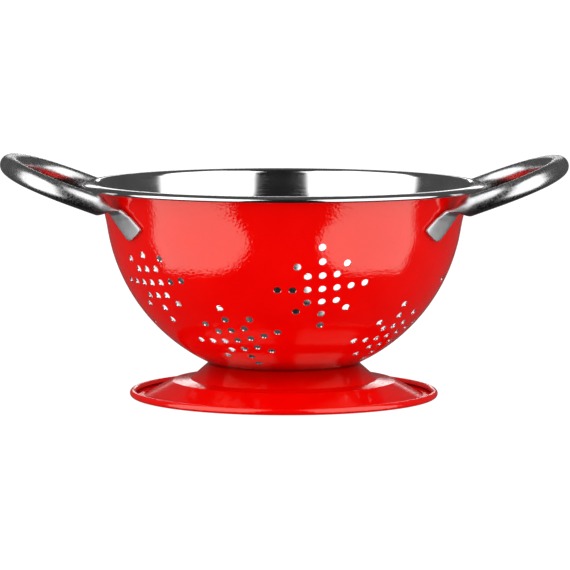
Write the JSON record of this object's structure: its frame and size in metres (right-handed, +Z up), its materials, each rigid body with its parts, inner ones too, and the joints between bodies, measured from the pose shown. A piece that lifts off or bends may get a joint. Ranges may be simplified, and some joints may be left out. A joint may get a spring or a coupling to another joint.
{
  "type": "colander",
  "caption": "Footed kitchen colander: bright steel bowl with a rolled rim, red enamel outside, stars of drain holes, a ring foot and loop handles of bent tube.",
  "frame": {"origin": "on the bowl's axis, at the level that the foot stands on", "axes": "+X from the left handle to the right handle, +Y from the front to the back, +Z up"},
  "size_m": [0.3086, 0.22, 0.1317],
  "materials": {
    "bowl_steel": "polished stainless steel",
    "enamel": "glossy vitreous enamel",
    "handle_steel": "polished stainless steel",
    "weld": "fused steel"
  },
  "bodies": {
    "root": {"bowl": "bowl_steel", "foot": "enamel", "handle_left": "handle_steel", "handle_right": "handle_steel", "handle_weld_spots": "weld", "foot_weld_spots": "weld"}
  },
  "joints": []
}
